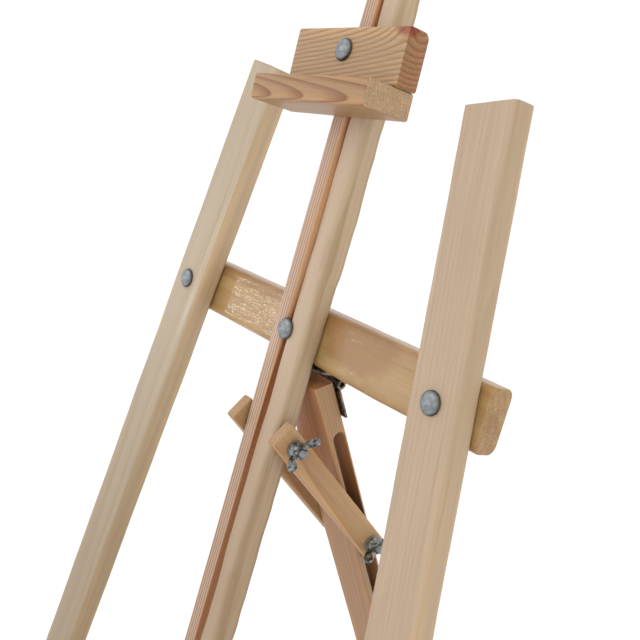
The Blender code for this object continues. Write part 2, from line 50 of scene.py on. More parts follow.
# The easel's own directions, in radians and metres.
CLIMB = Vector(JOINTS["shelf_slide"]["axis"])  # up along the mast
LEAN = math.atan2(CLIMB.y, CLIMB.z)
LEG_TAPER = math.radians(8.84)
REAR_LEG_ANGLE = math.radians(35.3)
CLAMP_TILT = math.radians(3.5)
RIGHT_LEG_SKEW = math.radians(3.0)
REAR_LEG_TOP_SLOPE = math.radians(-10.3)
REAR_SLOT_RADIUS = 0.007
REAR_SLOT_SHIFT = 0.0015  # the slot's middle line is this far behind the leg's
REAR_SLOT_TOP = -0.050  # from the hinge pin
REAR_SLOT_BOTTOM = -0.280

# Hardware, as in the CAD.
HEAD_RADIUS = 0.0103
HEAD_HEIGHT = 0.0048
HEAD_RIM = 0.0010  # the flat rim under a bolt's dome
SHANK_RADIUS = 0.0039
BORE_RADIUS = 0.0043
PLAIN_SHANK = 0.012  # without a thread, under the head
THREAD_PITCH = 0.00125
THREAD_DEPTH = 0.0006
WING_NUT_HEIGHT = 0.0105
WING_TIP = 0.0050  # the radius of a wing's lobe
WING_THICKNESS = 0.0032

# How finely the shapes are cut.
ARC_STEPS = 6  # on each rounded edge of a timber
FLAT_STEPS = 4  # on each flat side
DOME_STEPS = 8
ROUND_STEPS = 40  # round a bolt or a hub
RING_STEPS = 48  # round a washer or a nut


def turned_about(angle, axis):
    return Matrix.Rotation(angle, 4, axis)


PLANE = turned_about(-LEAN, "X")  # X across the easel, Y to the back, Z up the mast
ALONG_X = turned_about(math.pi / 2, "Y")  # lays a piece's own Z along X
TO_FRONT = turned_about(math.pi / 2, "X")
TO_BACK = turned_about(-math.pi / 2, "X")
TO_LEFT = turned_about(-math.pi / 2, "Y")
TO_RIGHT = turned_about(math.pi / 2, "Y")
REAR_PLANE = PLANE @ turned_about(REAR_LEG_ANGLE, "X")
CLAMP_PLANE = PLANE @ turned_about(-CLAMP_TILT, "Y")


def arm_plane():
    """The tilt arms' own frame: their Z runs from the lock bolt up to the pivot bolt."""
    pivot = Vector(JOINTS["tilt_arms_swing"]["pos_m"])
    lock = Vector(JOINTS["tilt_lock_wing_nut_turn"]["pos_m"])
    return turned_about(math.atan2(lock.y - pivot.y, pivot.z - lock.z), "X")


def local_box(node, turn):
    """A CAD node's lowest and highest corners in a turned frame that shares the world's origin."""
    back = turn.inverted()
    corners = [back @ vertex.co for vertex in frame["nodes"][node].data.vertices]
    low = Vector([min(corner[i] for corner in corners) for i in range(3)])
    high = Vector([max(corner[i] for corner in corners) for i in range(3)])
    return low, high


# ---------------------------------------------------------------- shader helpers


def put(tree, socket, value):
    if isinstance(value, bpy.types.NodeSocket):
        tree.links.new(value, socket)
    else:
        socket.default_value = value


def calc(tree, operation, *values, clamp=False):
    node = tree.nodes.new("ShaderNodeMath")
    node.operation = operation
    node.use_clamp = clamp
    for socket, value in zip(node.inputs, values):
        put(tree, socket, value)
    return node.outputs[0]


def vector_calc(tree, operation, *values):
    node = tree.nodes.new("ShaderNodeVectorMath")
    node.operation = operation
    for socket, value in zip(node.inputs, values):
        put(tree, socket, value)
    return node.outputs["Value" if operation in ("LENGTH", "DOT_PRODUCT") else "Vector"]


def speckle(tree, vector, scale, detail=2.0, output="Fac"):
    node = tree.nodes.new("ShaderNodeTexNoise")
    node.inputs["Scale"].default_value = scale
    node.inputs["Detail"].default_value = detail
    tree.links.new(vector, node.inputs["Vector"])
    return node.outputs[output]


def fade(tree, value, low, high):
    """0 below low and 1 above high, or the other way round when high is below low."""
    node = tree.nodes.new("ShaderNodeMapRange")
    node.interpolation_type = "SMOOTHSTEP"
    rising = low < high
    put(tree, node.inputs["Value"], value)
    node.inputs["From Min"].default_value = min(low, high)
    node.inputs["From Max"].default_value = max(low, high)
    node.inputs["To Min"].default_value = 0.0 if rising else 1.0
    node.inputs["To Max"].default_value = 1.0 if rising else 0.0
    return node.outputs["Result"]


def mix(tree, factor, first, second, blend="MIX"):
    node = tree.nodes.new("ShaderNodeMix")
    node.data_type = "RGBA"
    node.blend_type = blend
    put(tree, node.inputs[0], factor)
    put(tree, node.inputs[6], first)
    put(tree, node.inputs[7], second)
    return node.outputs[2]


def curve(tree, value, stops):
    """A colour ramp used as a curve: stops are (position, height)."""
    node = tree.nodes.new("ShaderNodeValToRGB")
    ramp = node.color_ramp
    while len(ramp.elements) < len(stops):
        ramp.elements.new(0.5)
    for element, (position, height) in zip(ramp.elements, stops):
        element.position = position
        element.color = (height, height, height, 1.0)
    put(tree, node.inputs["Fac"], value)
    return node.outputs["Color"]


def bump(tree, height, strength, distance):
    node = tree.nodes.new("ShaderNodeBump")
    node.inputs["Strength"].default_value = strength
    node.inputs["Distance"].default_value = distance
    put(tree, node.inputs["Height"], height)
    return node.outputs["Normal"]


LIT = 1.32  # how much brighter than its own colour the studio makes a front face


def paint(red, green, blue):
    """The reflectance of something that looks this 8-bit colour on a front face."""
    linear = []
    for value in (red, green, blue):
        share = value / 255
        level = share / 12.92 if share <= 0.04045 else ((share + 0.055) / 1.055) ** 2.4
        linear.append(level / LIT)
    return (*linear, 1.0)


def new_material(name):
    material = bpy.data.materials.new(name)
    material.use_nodes = True
    return material, material.node_tree, material.node_tree.nodes["Principled BSDF"]


# ---------------------------------------------------------------- timber material

# Each look: early and late wood, the pith's place from the board's middle, rings per metre, how fast the
# rings close in along the board, how far they wander, how dark the late wood is, and how strong the fibres
# and the long dark lines are. end is the end grain's share of the colour, and calm how far it loses its
# rings. fall darkens a piece along its length: painted shade, where the light on it falls off. tints change
# the faces that look along an axis: painted light and shade on faces that the light reaches differently.
# corner is the share of the colour on the rounded edges, partly wear and partly painted light: above 1 it
# paints a highlight along the edge, below 1 it darkens it. blotch is a second colour in spots, and ripple
# how uneven the varnish is. A knot is its place and its size.
PINE = dict(
    early=(207, 189, 164), late=(186, 156, 122), pith=(0.01, 0.09), rings=330, taper=0.006, wander=0.006,
    contrast=0.55, fibre=0.16, roughness=0.52, coat=0.08, end=(0.86, 0.78, 0.68), blotch=None,
    knots=(), seed=0, patch=0.10, lines=0.16, calm=0.0, corner=(1.14, 1.12, 1.08), fall=None, tints=(),
    ripple=0.0,
)


def growth_rings(tree, place, look):
    """The late wood's share, from 0 to 1, and the shade of the knots."""
    drift = vector_calc(tree, "MULTIPLY", place, (7.0, 7.0, 2.2))
    drift = vector_calc(tree, "ADD", drift, (look["seed"] * 3.7, 1.3, look["seed"] * 1.9))
    drift = speckle(tree, drift, 1.0, 2.0, "Color")
    drift = vector_calc(tree, "SUBTRACT", drift, (0.5, 0.5, 0.5))
    drift = vector_calc(tree, "SCALE", drift)
    drift.node.inputs["Scale"].default_value = look["wander"] * 2
    from_pith = vector_calc(tree, "SUBTRACT", place, (*look["pith"], 0.0))
    from_pith = vector_calc(tree, "ADD", from_pith, drift)
    across = vector_calc(tree, "MULTIPLY", from_pith, (1.0, 1.0, 0.0))
    radius = vector_calc(tree, "LENGTH", across)
    split = tree.nodes.new("ShaderNodeSeparateXYZ")
    tree.links.new(place, split.inputs[0])
    radius = calc(tree, "MULTIPLY_ADD", split.outputs["Z"], look["taper"], radius)
    knot_shade = 0.0
    for x, y, z, size in look["knots"]:
        away = vector_calc(tree, "SUBTRACT", place, (x, y, z))
        away = vector_calc(tree, "MULTIPLY", away, (1.0, 1.0, 0.55))
        away = vector_calc(tree, "LENGTH", away)
        squared = calc(tree, "POWER", calc(tree, "DIVIDE", away, size), 2.0)
        push = calc(tree, "DIVIDE", size * 1.1, calc(tree, "ADD", squared, 1.0))
        radius = calc(tree, "ADD", radius, push)
        knot_shade = calc(tree, "MAXIMUM", knot_shade, fade(tree, away, size * 0.75, size * 0.35))
    phase = calc(tree, "FRACT", calc(tree, "MULTIPLY", radius, look["rings"]))
    late = curve(tree, phase, [(0.0, 0.15), (0.06, 0.0), (0.45, 0.12), (0.80, 0.75), (0.93, 1.0), (1.0, 0.2)])
    return late, knot_shade


def make_timber(name, **changes):
    """Varnished pine whose grain runs along the piece's own Z, solid right through to its ends."""
    look = {**PINE, **changes}
    material, tree, shader = new_material(name)
    source = tree.nodes.new("ShaderNodeTexCoord")
    place = source.outputs["Object"]
    offset = (look["seed"] * 0.731, look["seed"] * 0.417, look["seed"] * 1.131)
    shifted = vector_calc(tree, "ADD", place, offset)

    late, knot_shade = growth_rings(tree, place, look)
    fibre_place = vector_calc(tree, "MULTIPLY", shifted, (1.0, 1.0, 0.022))
    fibre = speckle(tree, fibre_place, 900.0, 3.0)
    broad_place = vector_calc(tree, "MULTIPLY", shifted, (1.0, 1.0, 0.06))
    broad = speckle(tree, broad_place, 90.0, 3.0)
    patch = speckle(tree, vector_calc(tree, "MULTIPLY", shifted, (1.0, 1.0, 0.35)), 16.0, 2.0)

    turn = tree.nodes.new("ShaderNodeSeparateXYZ")
    tree.links.new(source.outputs["Normal"], turn.inputs[0])
    end = fade(tree, calc(tree, "ABSOLUTE", turn.outputs["Z"]), 0.55, 0.85)

    strength = calc(tree, "MULTIPLY", late, look["contrast"])
    strength = calc(tree, "MULTIPLY", strength, calc(tree, "MULTIPLY_ADD", broad, 0.9, 0.55), clamp=True)
    colour = mix(tree, strength, paint(*look["early"]), paint(*look["late"]))
    streak = calc(tree, "MULTIPLY_ADD", calc(tree, "SUBTRACT", fibre, 0.5), 2 * look["fibre"], 1.0)
    broad_streak = calc(tree, "MULTIPLY_ADD", calc(tree, "SUBTRACT", broad, 0.5), 1.3 * look["fibre"], 1.0)
    patches = calc(tree, "MULTIPLY_ADD", calc(tree, "SUBTRACT", patch, 0.5), 2 * look["patch"], 1.0)
    line = speckle(tree, vector_calc(tree, "MULTIPLY", shifted, (1.0, 1.0, 0.007)), 420.0, 2.0)
    line = calc(tree, "MULTIPLY", fade(tree, line, 0.54, 0.70), fade(tree, patch, 0.35, 0.60))
    line = calc(tree, "MULTIPLY_ADD", line, -look["lines"], 1.0)
    shade = calc(tree, "MULTIPLY", calc(tree, "MULTIPLY", streak, broad_streak), patches)
    shade = calc(tree, "MULTIPLY", shade, line)
    colour = mix(tree, 1.0, colour, shade, "MULTIPLY")
    if look["blotch"]:
        spots = speckle(tree, vector_calc(tree, "MULTIPLY", shifted, (1.0, 1.0, 0.5)), 26.0, 4.0)
        spots = calc(tree, "MULTIPLY", fade(tree, spots, 0.46, 0.64), 0.75)
        colour = mix(tree, spots, colour, paint(*look["blotch"]))
    if look["knots"]:
        dark = mix(tree, 1.0, colour, (0.62, 0.30, 0.20, 1.0), "MULTIPLY")
        colour = mix(tree, knot_shade, colour, dark)

    pores = speckle(tree, shifted, 1500.0, 2.0)
    end_shade = calc(tree, "MULTIPLY_ADD", fade(tree, pores, 0.40, 0.62), 0.42, 0.72)
    end_colour = mix(tree, look["calm"], colour, paint(*look["early"]))
    end_colour = mix(tree, 1.0, end_colour, (*look["end"], 1.0), "MULTIPLY")
    end_colour = mix(tree, 1.0, end_colour, end_shade, "MULTIPLY")
    colour = mix(tree, end, colour, end_colour)

    # The rounded edges take the corner colour in patches: partly wear, partly a painted highlight along the edge
    # where corner is above 1.
    rounded_edge = tree.nodes.new("ShaderNodeAttribute")
    rounded_edge.attribute_name = "edge"
    edge_wear_and_painted_light = calc(tree, "MULTIPLY", rounded_edge.outputs["Fac"], fade(tree, broad, 0.36, 0.62))
    colour = mix(tree, edge_wear_and_painted_light, colour, mix(tree, 1.0, colour, (*look["corner"], 1.0), "MULTIPLY"))
    # Painted shade: the colour changes towards one end of the piece, where the light on it falls off.
    if look["fall"]:
        top, bottom, share = look["fall"]
        split = tree.nodes.new("ShaderNodeSeparateXYZ")
        tree.links.new(place, split.inputs[0])
        painted_falloff = fade(tree, split.outputs["Z"], top, bottom)
        colour = mix(tree, painted_falloff, colour, mix(tree, 1.0, colour, (*share, 1.0), "MULTIPLY"))
    # Painted light and shade: faces that look along an axis are made lighter or darker, as the light reaches them.
    for axis, side, share in look["tints"]:
        facing = fade(tree, calc(tree, "MULTIPLY", turn.outputs[axis], side), 0.6, 0.9)
        colour = mix(tree, facing, colour, mix(tree, 1.0, colour, (*share, 1.0), "MULTIPLY"))
    put(tree, shader.inputs["Base Color"], colour)

    rough = calc(tree, "MULTIPLY_ADD", broad, 0.22, look["roughness"] - 0.11)
    rough = calc(tree, "MULTIPLY_ADD", end, 0.2, rough, clamp=True)
    put(tree, shader.inputs["Roughness"], rough)
    shader.inputs["Coat Weight"].default_value = look["coat"]
    shader.inputs["Coat Roughness"].default_value = 0.16
    shader.inputs["IOR"].default_value = 1.45
    relief = calc(tree, "MULTIPLY_ADD", late, 0.5, fibre)
    relief = calc(tree, "MULTIPLY_ADD", calc(tree, "MULTIPLY", pores, end), 1.5, relief)
    normal = bump(tree, relief, 0.35, 0.0004)
    put(tree, shader.inputs["Normal"], normal)
    if look["ripple"]:
        runs = speckle(tree, vector_calc(tree, "MULTIPLY", shifted, (1.0, 1.0, 0.25)), 130.0, 3.0)
        film = bump(tree, runs, look["ripple"], 0.004)
        put(tree, shader.inputs["Coat Normal"], film)
    return material


# ---------------------------------------------------------------- metal materials


def make_zinc(name, light, dark, roughness, mottle, rim=0.0):
    """Zinc plating: a cold grey that is cloudy, a little yellow in places, and dented by handling.

    rim is how much darker a round head is painted towards its edge: painted shade where the dome turns from the
    light."""
    material, tree, shader = new_material(name)
    place = tree.nodes.new("ShaderNodeTexCoord").outputs["Object"]
    cloud = speckle(tree, place, 260.0, 4.0)
    fine = speckle(tree, place, 2200.0, 2.0)
    colour = mix(tree, fade(tree, cloud, 0.35, 0.68), (*dark, 1.0), (*light, 1.0))
    tarnish = fade(tree, speckle(tree, place, 120.0, 3.0), 0.56, 0.72)
    colour = mix(tree, calc(tree, "MULTIPLY", tarnish, 0.35), colour, (0.30, 0.31, 0.27, 1.0))
    # Painted shade: a round head darkens towards its edge, where its dome turns from the light.
    away = vector_calc(tree, "LENGTH", vector_calc(tree, "MULTIPLY", place, (1.0, 1.0, 0.0)))
    painted_rim_shade = calc(tree, "MULTIPLY", fade(tree, away, HEAD_RADIUS * 0.78, HEAD_RADIUS), rim)
    colour = mix(tree, painted_rim_shade, colour, mix(tree, 1.0, colour, (0.25, 0.25, 0.24, 1.0), "MULTIPLY"))
    put(tree, shader.inputs["Base Color"], colour)
    shader.inputs["Metallic"].default_value = 1.0
    rough = calc(tree, "MULTIPLY_ADD", cloud, 0.25, roughness - 0.1)
    put(tree, shader.inputs["Roughness"], rough)
    relief = calc(tree, "MULTIPLY_ADD", fine, 0.25, cloud)
    put(tree, shader.inputs["Normal"], bump(tree, relief, mottle, 0.0005))
    return material


# ---------------------------------------------------------------- mesh helpers


def rounded_section(width, depth, radii):
    """Points round a rectangle with rounded corners, and which of them lie on a corner.

    The corners go round from low X and low Y: (low, low), (high, low), (high, high), (low, high)."""
    corners = [(-1, -1, 180), (1, -1, 270), (1, 1, 0), (-1, 1, 90)]
    arcs = []
    for (side_x, side_y, start), radius in zip(corners, radii):
        centre = (side_x * (width / 2 - radius), side_y * (depth / 2 - radius))
        angles = [math.radians(start + 90 * step / ARC_STEPS) for step in range(ARC_STEPS + 1)]
        arcs.append([(centre[0] + radius * math.cos(a), centre[1] + radius * math.sin(a)) for a in angles])
    points = []
    on_corner = []
    for index, one in enumerate(arcs):
        following = arcs[(index + 1) % 4][0]
        points += one
        on_corner += [1.0] * len(one)
        for step in range(1, FLAT_STEPS):
            share = step / FLAT_STEPS
            points.append(tuple(one[-1][i] + share * (following[i] - one[-1][i]) for i in range(2)))
            on_corner.append(0.0)
    return points, on_corner


def finish_mesh(mesh, name, material, smooth_under=38):
    """Turns a bmesh into an object, shaded smooth but for its sharp edges."""
    bmesh.ops.recalc_face_normals(mesh, faces=mesh.faces)
    data = bpy.data.meshes.new(name)
    mesh.to_mesh(data)
    mesh.free()
    data.shade_smooth()
    data.set_sharp_from_angle(angle=math.radians(smooth_under))
    piece = bpy.data.objects.new(name, data)
    bpy.context.scene.collection.objects.link(piece)
    if material:
        data.materials.append(material)
    return piece


def settle(piece, node, matrix):
    """Puts a piece where its CAD node is, and lets it stand for the node."""
    piece.matrix_world = matrix
    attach(piece, BODY_OF[node])
    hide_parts(node)
    return piece


def cut(piece, cutter, operation="DIFFERENCE"):
    """Applies a Boolean and removes the helper."""
    modifier = piece.modifiers.new("cut", "BOOLEAN")
    modifier.operation = operation
    modifier.object = cutter
    modifier.solver = "EXACT"
    bpy.context.view_layer.update()
    shaped = piece.evaluated_get(bpy.context.evaluated_depsgraph_get())
    piece.data = bpy.data.meshes.new_from_object(shaped)
    piece.modifiers.clear()
    bpy.data.objects.remove(cutter, do_unlink=True)


def loft(sections, heights):
    """A closed skin through sections of the same number of points, one at each height."""
    mesh = bmesh.new()
    edge = mesh.verts.layers.float.new("edge")
    rings = []
    for (points, on_corner), height in zip(sections, heights):
        ring = [mesh.verts.new((x, y, height)) for x, y in points]
        for vertex, value in zip(ring, on_corner):
            vertex[edge] = value
        rings.append(ring)
    count = len(rings[0])
    for lower, upper in zip(rings, rings[1:]):
        for index in range(count):
            after = (index + 1) % count
            mesh.faces.new((lower[index], lower[after], upper[after], upper[index]))
    for ring in (rings[0], rings[-1]):
        mesh.faces.new(ring)
    return mesh


def trim(mesh, point, normal):
    """Saws a closed mesh off at a plane, keeps the part on the plane's normal side and closes it."""
    parts = mesh.verts[:] + mesh.edges[:] + mesh.faces[:]
    made = bmesh.ops.bisect_plane(mesh, geom=parts, plane_co=point, plane_no=normal, clear_inner=True)
    rim = [item for item in made["geom_cut"] if isinstance(item, bmesh.types.BMEdge)]
    bmesh.ops.contextual_create(mesh, geom=rim)


def make_board(node, turn, material, radii, pitch=0.010, waver=0.22, end_round=0.0012, seed=1, ground=False,
               slopes=(0.0, 0.0)):
    """A sawn and sanded timber whose grain runs along the turned frame's Z.

    Its rounded edges widen and narrow along its length, as hand sanding leaves them. A piece that stands on
    the ground is cut off level with the floor. slopes are how its upper end rises, to the right and to the
    back."""
    low, high = local_box(node, turn)
    middle = (low + high) / 2
    width, depth, length = high - low
    steps = max(6, round((length - 2 * end_round) / pitch))
    half = length / 2
    inner = half - end_round
    heights = []
    insets = []
    for angle in (0, 30, 60):
        heights.append(-half + end_round * (1 - math.cos(math.radians(angle))))
        insets.append(end_round * (1 - math.sin(math.radians(angle))))
    for step in range(steps + 1):
        heights.append(-inner + 2 * inner * step / steps)
        insets.append(0.0)
    for angle in (60, 30, 0):
        heights.append(half - end_round * (1 - math.cos(math.radians(angle))))
        insets.append(end_round * (1 - math.sin(math.radians(angle))))
    sections = []
    for height, inset in zip(heights, insets):
        wavy = []
        for corner, radius in enumerate(radii):
            sway = noise.noise(Vector((height * 14.0, corner * 5.3, seed * 2.7)))
            sway += 0.5 * noise.noise(Vector((height * 45.0, corner * 3.1, seed * 4.1)))
            limit = min(width, depth) * 0.45
            wavy.append(min(limit, max(0.0005, radius * (1 + waver * sway)) + 0.5 * inset))
        sections.append(rounded_section(width - 2 * inset, depth - 2 * inset, wavy))
    mesh = loft(sections, heights)
    matrix = turn @ Matrix.Translation(middle)
    if ground:
        back = matrix.inverted()
        upright = (back.to_3x3() @ Vector((0, 0, 1))).normalized()
        trim(mesh, back @ Vector((0, 0, 0)), upright)
    if any(slopes):
        summit = Vector((math.copysign(width / 2, slopes[0]), math.copysign(depth / 2, slopes[1]), half))
        trim(mesh, summit, Vector((math.tan(slopes[0]), math.tan(slopes[1]), -1)))
    piece = finish_mesh(mesh, node + "_timber", material)
    return settle(piece, node, matrix)


def spin_profile(profile, segments):
    """A solid of revolution about Z. A profile that ends on the axis is solid, any other is a ring."""
    mesh = bmesh.new()
    ring = [mesh.verts.new((radius, 0, height)) for radius, height in profile]
    closed = profile[0][0] > 0
    pairs = list(zip(ring, ring[1:] + ring[:1] if closed else ring[1:]))
    edges = [mesh.edges.new(pair) for pair in pairs]
    bmesh.ops.spin(mesh, geom=ring + edges, cent=(0, 0, 0), axis=(0, 0, 1), angle=2 * math.pi,
                   steps=segments, use_merge=True)
    bmesh.ops.remove_doubles(mesh, verts=mesh.verts, dist=1e-7)
    return mesh


def thread_profile(start, end):
    """A shank from its chamfered tip at start up to end, ringed with a thread."""
    profile = [(0, start), (SHANK_RADIUS - 2 * THREAD_DEPTH, start)]
    height = start + THREAD_DEPTH
    while height < end - THREAD_PITCH:
        profile.append((SHANK_RADIUS - THREAD_DEPTH, height))
        profile.append((SHANK_RADIUS, height + THREAD_PITCH * 0.5))
        height += THREAD_PITCH
    profile.append((SHANK_RADIUS - THREAD_DEPTH, height))
    profile.append((SHANK_RADIUS, end))
    return profile


def dent(mesh, amount, scale, seed):
    """Moves every point a little inwards, unevenly, as casting and handling leave it."""
    for vertex in mesh.verts:
        away = Vector((vertex.co.x, vertex.co.y, 0))
        if away.length > 1e-6:
            shift = amount * (0.5 + 0.5 * noise.noise(vertex.co * scale + Vector((seed, 0, 0))))
            vertex.co -= away.normalized() * shift


def make_bolt(node, turn, material, seed):
    """A carriage bolt: a shallow dome on a flat rim, and a threaded shank."""
    low, high = local_box(node, turn)
    middle = (low + high) / 2
    head_radius = (high.x - low.x) / 2
    top = (high.z - low.z) / 2
    seat = top - HEAD_HEIGHT
    bevel = 0.0003
    profile = thread_profile(-top, seat - PLAIN_SHANK)
    profile += [(SHANK_RADIUS, seat), (head_radius - bevel, seat), (head_radius, seat + bevel)]
    profile += [(head_radius, seat + HEAD_RIM - 0.0002)]
    rise = HEAD_HEIGHT - HEAD_RIM
    for step in range(1, DOME_STEPS + 1):
        share = step / DOME_STEPS
        angle = share * math.pi / 2
        profile.append((head_radius * math.cos(angle), seat + HEAD_RIM + rise * math.sin(angle) ** 1.15))
    profile[-1] = (0, top)
    mesh = spin_profile(profile, ROUND_STEPS)
    dent(mesh, 0.00022, 260.0, seed)
    piece = finish_mesh(mesh, node + "_metalwork", material, 50)
    return settle(piece, node, turn @ Matrix.Translation(middle))


def make_washer(node, turn, material):
    """A flat ring with softened outer edges. The pivot's spacers are thick ones."""
    low, high = local_box(node, turn)
    outer = (high.x - low.x) / 2
    half = (high.z - low.z) / 2
    soft = 0.0003
    profile = [(BORE_RADIUS, -half), (outer - soft, -half), (outer, soft - half)]
    profile += [(outer, half - soft), (outer - soft, half), (BORE_RADIUS, half)]
    piece = finish_mesh(spin_profile(profile, RING_STEPS), node + "_metalwork", material, 50)
    return settle(piece, node, turn @ Matrix.Translation((low + high) / 2))


def make_hex_nut(node, turn, material):
    """A hexagon nut, its corners turned off at both faces, with a chamfered bore."""
    low, high = local_box(node, turn)
    half = (high.z - low.z) / 2
    corner = max(high.x - low.x, high.y - low.y) / 2
    flat = corner * math.cos(math.pi / 6)
    chamfer = 0.0007
    past = corner + 0.0004
    hexagon = spin_profile([(0, -half), (corner, -half), (corner, half), (0, half)], 6)
    block = finish_mesh(hexagon, "block", None)
    lathe = [(BORE_RADIUS + chamfer, -half), (flat, -half), (past, chamfer - half)]
    lathe += [(past, half - chamfer), (flat, half), (BORE_RADIUS + chamfer, half)]
    lathe += [(BORE_RADIUS, half - chamfer), (BORE_RADIUS, chamfer - half)]
    cut(block, finish_mesh(spin_profile(lathe, RING_STEPS), "lathe", None), "INTERSECT")
    block.name = node + "_metalwork"
    block.data.materials.clear()
    block.data.materials.append(material)
    block.data.shade_smooth()
    block.data.set_sharp_from_angle(angle=math.radians(30))
    return settle(block, node, turn @ Matrix.Translation((low + high) / 2))


def wing_outline(side, span, rise, tip):
    """One wing's outline from its low root, round its lobe and back to its high root."""
    centre = (span - tip, rise - tip)
    points = [(0.0050, 0.0012), (0.0085, 0.0018), (0.0118, 0.0042)]
    for step in range(13):
        angle = math.radians(-35 + 215 * step / 12)
        points.append((centre[0] + tip * math.cos(angle), centre[1] + tip * math.sin(angle)))
    points += [(0.0092, 0.0098), (0.0072, 0.0088), (0.0050, 0.0090)]
    return [(side * x, z) for x, z in points]


def make_wing(side, span, rise, tip, thickness):
    """A cast wing: thick at its root, thinner towards its lobe, with soft edges."""
    mesh = bmesh.new()
    rim = [mesh.verts.new((x, 0, z)) for x, z in wing_outline(side, span, rise, tip)]
    face = mesh.faces.new(rim)
    bmesh.ops.inset_individual(mesh, faces=[face], thickness=0.0009)
    inner = [vertex for vertex in mesh.verts if vertex not in rim]
    front = {vertex: vertex.co.copy() for vertex in mesh.verts}
    both = bmesh.ops.duplicate(mesh, geom=mesh.verts[:] + mesh.edges[:] + mesh.faces[:])
    twin = both["vert_map"]
    for vertex, place in front.items():
        slim = thickness * (0.5 - 0.15 * min(1.0, abs(place.x) / span))
        depth = slim if vertex in inner else slim * 0.55
        vertex.co.y = -depth
        twin[vertex].co.y = depth
    for index, vertex in enumerate(rim):
        after = rim[(index + 1) % len(rim)]
        mesh.faces.new((vertex, after, twin[after], twin[vertex]))
    return finish_mesh(mesh, "wing", None)


def make_wing_nut(node, turn, material):
    """A cast wing nut: a waisted hub with two lobed wings."""
    low, high = local_box(node, turn)
    span = (high.x - low.x) / 2
    rise = high.z - low.z
    middle = Vector(((low.x + high.x) / 2, (low.y + high.y) / 2, low.z))
    top = WING_NUT_HEIGHT
    hub = [(BORE_RADIUS + 0.0004, 0), (0.0078, 0), (0.0082, 0.0005), (0.0080, 0.0024), (0.0074, 0.0036)]
    hub += [(0.0068, 0.0062), (0.0064, top - 0.0007), (0.0058, top), (BORE_RADIUS + 0.0005, top)]
    hub += [(BORE_RADIUS, top - 0.0005), (BORE_RADIUS, 0.0004)]
    nut = finish_mesh(spin_profile(hub, ROUND_STEPS), node + "_metalwork", material, 40)
    for side in (-1, 1):
        cut(nut, make_wing(side, span - 0.0001, rise, WING_TIP, WING_THICKNESS), "UNION")
    mesh = bmesh.new()
    mesh.from_mesh(nut.data)
    bpy.data.objects.remove(nut, do_unlink=True)
    nut = finish_mesh(mesh, node + "_metalwork", material, 42)
    return settle(nut, node, turn @ Matrix.Translation(middle))


# ---------------------------------------------------------------- the timbers


def slot_cutter(hinge_height, middle, reach):
    """A long slot with round ends through the rear leg's sides, in the leg's own turned frame."""
    mesh = bmesh.new()
    outline = []
    top = hinge_height + REAR_SLOT_TOP - REAR_SLOT_RADIUS
    bottom = hinge_height + REAR_SLOT_BOTTOM + REAR_SLOT_RADIUS
    for end, start in ((top, 0), (bottom, math.pi)):
        for step in range(13):
            angle = start + step * math.pi / 12
            y = middle + REAR_SLOT_SHIFT + REAR_SLOT_RADIUS * math.cos(angle)
            outline.append((y, end + REAR_SLOT_RADIUS * math.sin(angle)))
    face = mesh.faces.new([mesh.verts.new((-reach, y, z)) for y, z in outline])
    grown = bmesh.ops.extrude_face_region(mesh, geom=[face])
    moved = [item for item in grown["geom"] if isinstance(item, bmesh.types.BMVert)]
    bmesh.ops.translate(mesh, verts=moved, vec=(2 * reach, 0, 0))
    return finish_mesh(mesh, "slot", None)


def make_rear_leg():
    # Painted light: the front face's warm tint is partly the wood and partly painted warm shade under the mast and
    # crossbar, and fall takes the red out of the lower leg.
    material = make_timber(
        "tan_pine", early=(190, 152, 114), late=(160, 116, 76), pith=(0.02, -0.05), rings=300, taper=0.012,
        wander=0.008, contrast=0.5, seed=9, coat=0.04, patch=0.16, end=(1.3, 1.02, 0.85),
        tints=(("Y", -1, (1.24, 0.95, 0.74)),), fall=(0.40, 0.22, (0.76, 0.88, 0.98)),
    )
    pin = Vector(JOINTS["rear_leg_fold"]["pos_m"])
    leg = make_board("rear_leg", REAR_PLANE, material, [0.0024] * 4, seed=9, ground=True,
                     slopes=(0.0, REAR_LEG_TOP_SLOPE))
    low, high = local_box("rear_leg", REAR_PLANE)
    hinge = REAR_PLANE.inverted() @ pin
    cutter = slot_cutter(hinge.z, (low.y + high.y) / 2, 0.05)
    cutter.matrix_world = REAR_PLANE
    cut(leg, cutter)
    leg.data.shade_smooth()
    leg.data.set_sharp_from_angle(angle=math.radians(38))


